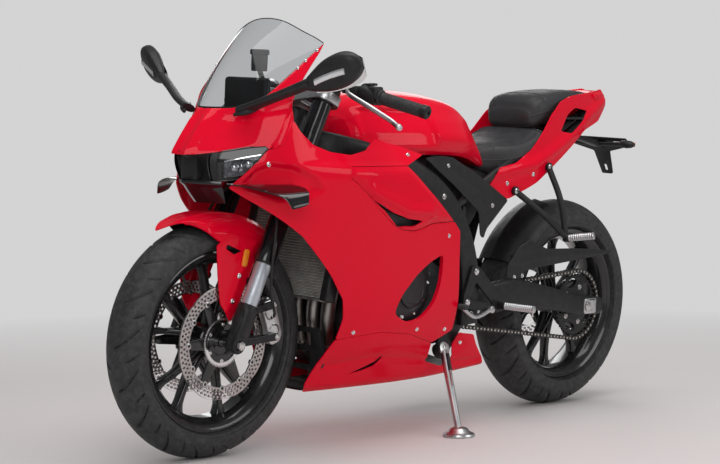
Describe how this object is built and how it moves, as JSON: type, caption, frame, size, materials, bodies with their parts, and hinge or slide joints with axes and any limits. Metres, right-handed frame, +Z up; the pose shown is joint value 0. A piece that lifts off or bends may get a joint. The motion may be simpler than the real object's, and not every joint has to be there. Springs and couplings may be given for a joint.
{
  "type": "faired sport motorcycle",
  "caption": "Red full-fairing sport bike on its side stand, with turning wheels, steering fork and folding stand.",
  "frame": {"origin": "on the floor, below the middle of the bounding box of the parked motorcycle", "axes": "+X is the direction of travel, +Y the left side onto which it leans, +Z up"},
  "size_m": [2.018, 0.8078, 1.1128],
  "materials": {
    "alloy": "silver anodised aluminium",
    "black_plastic": "black moulded plastic",
    "bright_steel": "polished steel",
    "chain_steel": "oiled dark steel",
    "disc_steel": "ground stainless steel",
    "engine_grey": "dark grey painted castings",
    "exhaust_steel": "warm stainless steel",
    "frame_black": "black satin paint",
    "lamp_lens": "clear lamp cover over a dark reflector",
    "radiator_grey": "dark finned core",
    "red_paint": "smooth red gloss paint with clear coat",
    "screen": "clear light grey acrylic",
    "seat_vinyl": "black grained seat cover",
    "tail_lens": "red lamp cover",
    "tyre_rubber": "black tyre rubber",
    "wheel_black": "black gloss painted cast alloy"
  },
  "bodies": {
    "frame": {"belly_pan": "red_paint", "drive_chain": "chain_steel", "engine": "engine_grey", "exhaust": "exhaust_steel", "footrest_left": "frame_black", "footrest_right": "frame_black", "frame": "frame_black", "fuel_tank": "red_paint", "headlamp_left": "lamp_lens", "headlamp_right": "lamp_lens", "lower_duct": "black_plastic", "mirror_left": "black_plastic", "mirror_right": "black_plastic", "nose_frame": "black_plastic", "pillion_footrest_left": "frame_black", "pillion_footrest_right": "frame_black", "pillion_seat": "seat_vinyl", "plate_holder": "black_plastic", "radiator": "radiator_grey", "rear_axle": "bright_steel", "rear_caliper": "frame_black", "rear_hugger": "black_plastic", "rear_shock": "black_plastic", "rider_seat": "seat_vinyl", "side_cover_left": "black_plastic", "side_cover_right": "black_plastic", "side_fairing_left": "red_paint", "side_fairing_right": "red_paint", "swingarm": "frame_black", "tail_cowl": "red_paint", "tail_lamp": "tail_lens", "upper_cowl": "red_paint", "windscreen": "screen", "winglet_left": "black_plastic", "winglet_right": "black_plastic"},
    "steering": {"brake_hose_left": "black_plastic", "brake_hose_right": "black_plastic", "clip_on_left": "black_plastic", "clip_on_right": "black_plastic", "fork_leg_left": "frame_black", "fork_leg_right": "frame_black", "front_axle": "bright_steel", "front_caliper_left": "alloy", "front_caliper_right": "alloy", "front_fender": "red_paint", "lever_left": "alloy", "lever_right": "alloy", "lower_yoke": "frame_black", "upper_yoke": "alloy"},
    "front_wheel": {"front_disc_left": "disc_steel", "front_disc_right": "disc_steel", "front_tyre": "tyre_rubber", "front_wheel_rim": "wheel_black"},
    "rear_wheel": {"rear_disc": "disc_steel", "rear_sprocket": "chain_steel", "rear_tyre": "tyre_rubber", "rear_wheel_rim": "wheel_black"},
    "side_stand": {"side_stand": "bright_steel"}
  },
  "joints": [
    {"name": "steering", "type": "hinge", "parent": "frame", "child": "steering", "pos_m": [0.47524, -0.01939, 0.7262], "axis": [-0.4147, 0.0635, 0.9077], "range_deg": [-27, 27]},
    {"name": "front_wheel_spin", "type": "hinge", "parent": "steering", "child": "front_wheel", "pos_m": [0.709, -0.04925, 0.29927], "axis": [0, 0.9976, -0.0698], "continuous": true},
    {"name": "rear_wheel_spin", "type": "hinge", "parent": "frame", "child": "rear_wheel", "pos_m": [-0.696, -0.04834, 0.31224], "axis": [0, 0.9976, -0.0698], "continuous": true},
    {"name": "side_stand_fold", "type": "hinge", "parent": "frame", "child": "side_stand", "pos_m": [-0.0335, 0.09606, 0.22696], "axis": [0, 0.9495, 0.3137], "range_deg": [0, 95]}
  ]
}
